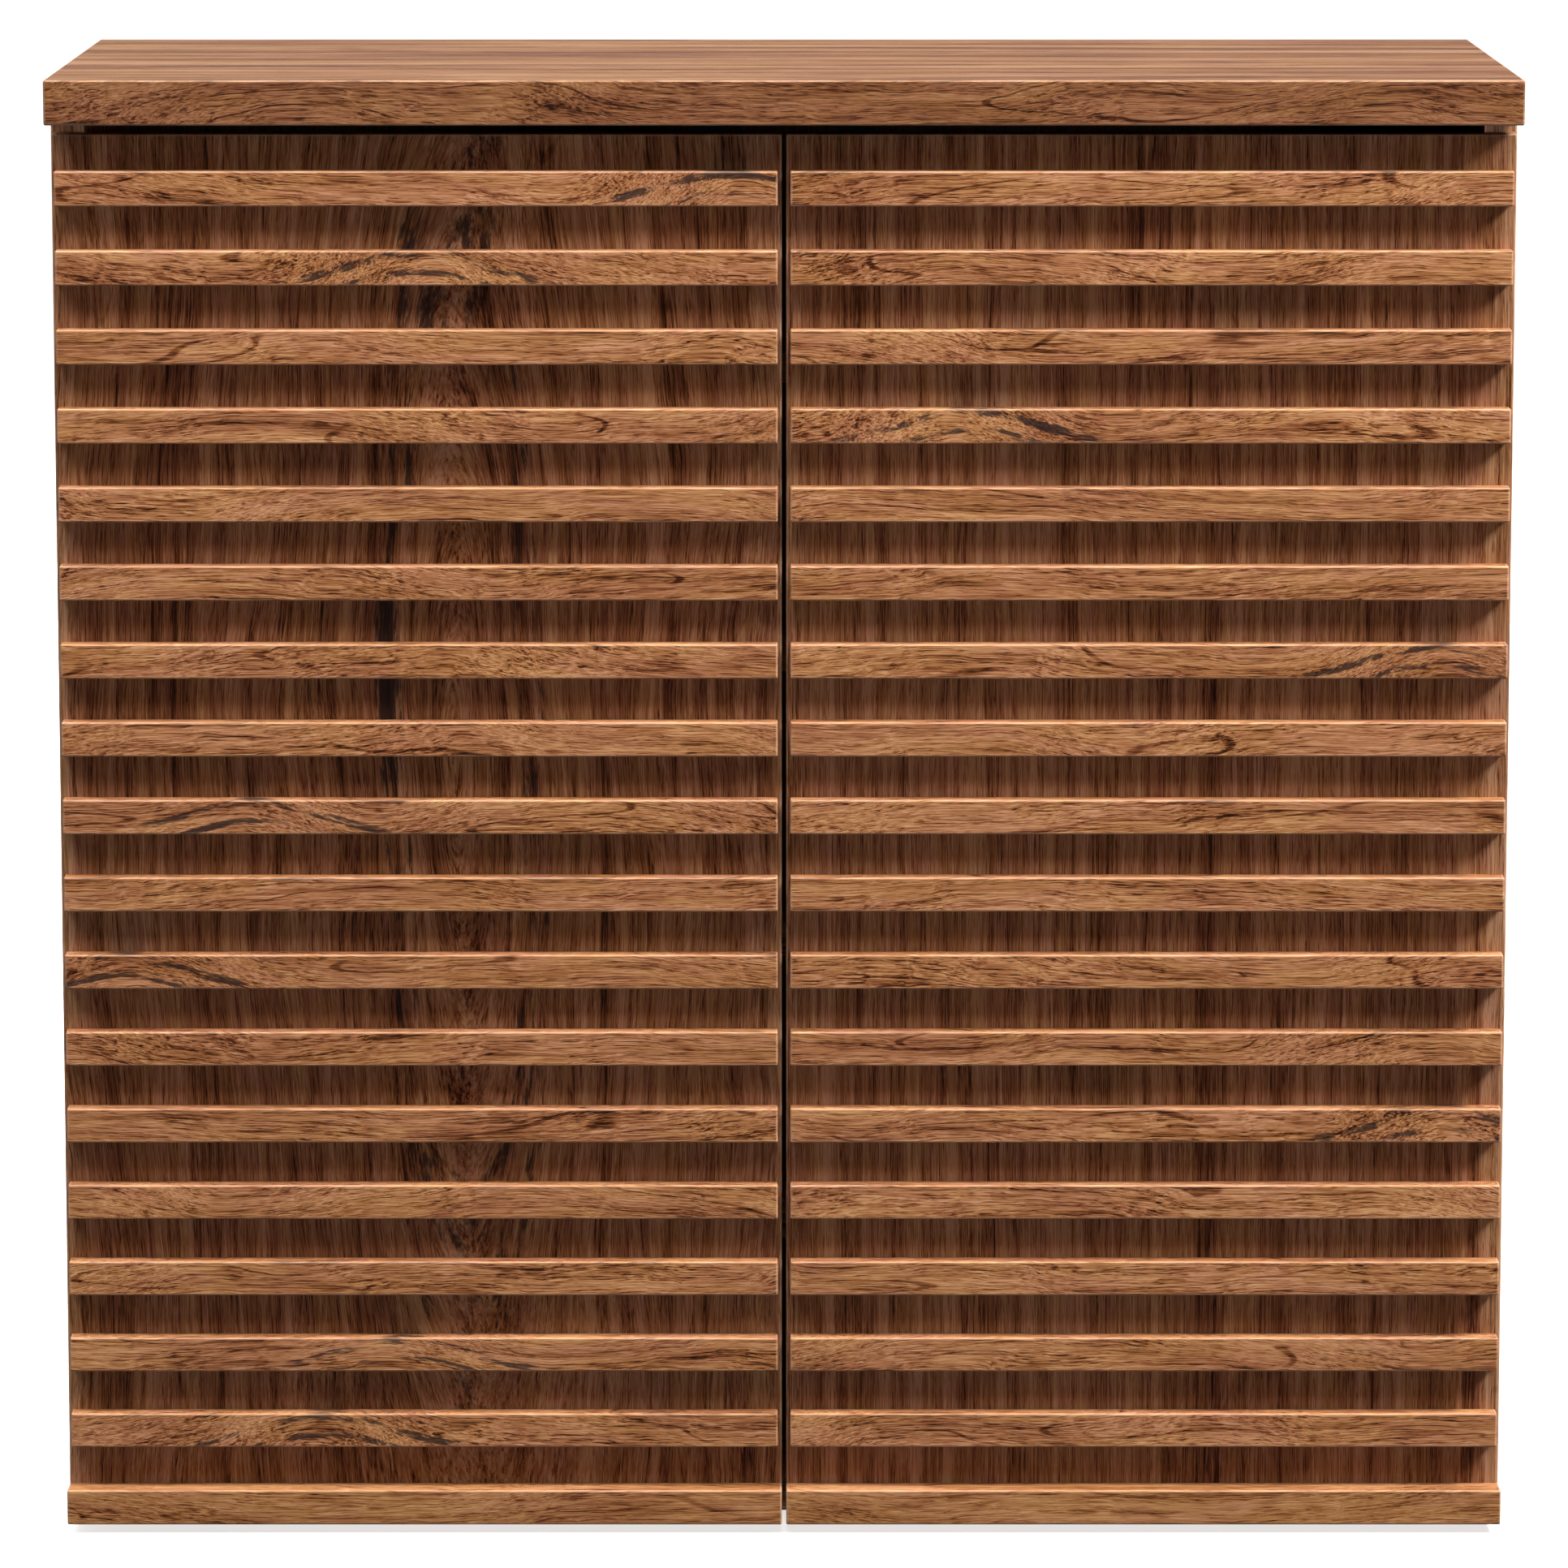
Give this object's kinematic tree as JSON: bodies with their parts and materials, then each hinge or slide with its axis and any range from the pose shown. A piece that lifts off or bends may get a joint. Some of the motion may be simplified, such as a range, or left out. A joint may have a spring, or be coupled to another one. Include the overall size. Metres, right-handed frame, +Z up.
{
  "type": "shoe cabinet",
  "caption": "Free-standing shoe cabinet with a thick top, slatted push-to-open doors on concealed hinges and adjustable shelves inside.",
  "frame": {"origin": "on the floor, at the middle of the cabinet's width and depth", "axes": "+X to the right seen from the front, +Y to the back, +Z up"},
  "size_m": [0.8, 0.35, 0.806],
  "materials": {
    "top_walnut": "satin walnut-look surface",
    "side_walnut": "satin walnut-look surface",
    "inner_walnut": "satin walnut-look surface",
    "door_walnut": "satin walnut-look surface, grain upright",
    "slat_walnut": "satin walnut-look surface, grain along the slat",
    "rail_walnut": "satin walnut-look surface, grain along the rail",
    "back_board": "thin fibreboard, matt printed face",
    "dowel_beech": "turned beech",
    "peg_steel": "zinc-plated",
    "hinge_steel": "nickel-plated",
    "cup_steel": "nickel-plated",
    "pin_steel": "bright",
    "strike_steel": "zinc-plated",
    "screw_steel": "zinc-plated",
    "latch_plastic": "moulded",
    "plunger_plastic": "moulded",
    "glide_plastic": "moulded"
  },
  "bodies": {
    "carcass": {"top_panel": "top_walnut", "side_panel_left": "side_walnut", "side_panel_right": "side_walnut", "bottom_panel": "inner_walnut", "back_panel": "back_board", "shelf_1": "inner_walnut", "shelf_2": "inner_walnut", "shelf_3": "inner_walnut", "shelf_4": "inner_walnut", "shelf_pins": "peg_steel", "carcass_dowels": "dowel_beech", "hinge_arms": "hinge_steel", "hinge_pins": "pin_steel", "latch_housings": "latch_plastic", "wood_screws": "screw_steel", "floor_glides": "glide_plastic"},
    "left_plunger": {"latch_plunger_left": "plunger_plastic"},
    "right_plunger": {"latch_plunger_right": "plunger_plastic"},
    "left_door": {"door_panel_left": "door_walnut", "bottom_rail_left": "rail_walnut", "slat_left_01": "slat_walnut", "slat_left_02": "slat_walnut", "slat_left_03": "slat_walnut", "slat_left_04": "slat_walnut", "slat_left_05": "slat_walnut", "slat_left_06": "slat_walnut", "slat_left_07": "slat_walnut", "slat_left_08": "slat_walnut", "slat_left_09": "slat_walnut", "slat_left_10": "slat_walnut", "slat_left_11": "slat_walnut", "slat_left_12": "slat_walnut", "slat_left_13": "slat_walnut", "slat_left_14": "slat_walnut", "slat_left_15": "slat_walnut", "slat_left_16": "slat_walnut", "slat_left_17": "slat_walnut", "hinge_cups_left": "cup_steel", "strike_plate_left": "strike_steel"},
    "right_door": {"door_panel_right": "door_walnut", "bottom_rail_right": "rail_walnut", "slat_right_01": "slat_walnut", "slat_right_02": "slat_walnut", "slat_right_03": "slat_walnut", "slat_right_04": "slat_walnut", "slat_right_05": "slat_walnut", "slat_right_06": "slat_walnut", "slat_right_07": "slat_walnut", "slat_right_08": "slat_walnut", "slat_right_09": "slat_walnut", "slat_right_10": "slat_walnut", "slat_right_11": "slat_walnut", "slat_right_12": "slat_walnut", "slat_right_13": "slat_walnut", "slat_right_14": "slat_walnut", "slat_right_15": "slat_walnut", "slat_right_16": "slat_walnut", "slat_right_17": "slat_walnut", "hinge_cups_right": "cup_steel", "strike_plate_right": "strike_steel"}
  },
  "joints": [
    {"name": "left_door_hinge", "type": "hinge", "parent": "carcass", "child": "left_door", "pos_m": [-0.3907, -0.15, 0.3903], "axis": [0, 0, -1], "range_deg": [0, 105]},
    {"name": "right_door_hinge", "type": "hinge", "parent": "carcass", "child": "right_door", "pos_m": [0.3907, -0.15, 0.3903], "axis": [0, 0, 1], "range_deg": [0, 105]},
    {"name": "left_latch_push", "type": "slide", "parent": "carcass", "child": "left_plunger", "axis": [0, 1, 0], "range_m": [0, 0.0025], "stiffness_N_per_m": 200, "springref_m": -0.003},
    {"name": "right_latch_push", "type": "slide", "parent": "carcass", "child": "right_plunger", "axis": [0, 1, 0], "range_m": [0, 0.0025], "stiffness_N_per_m": 200, "springref_m": -0.003}
  ]
}
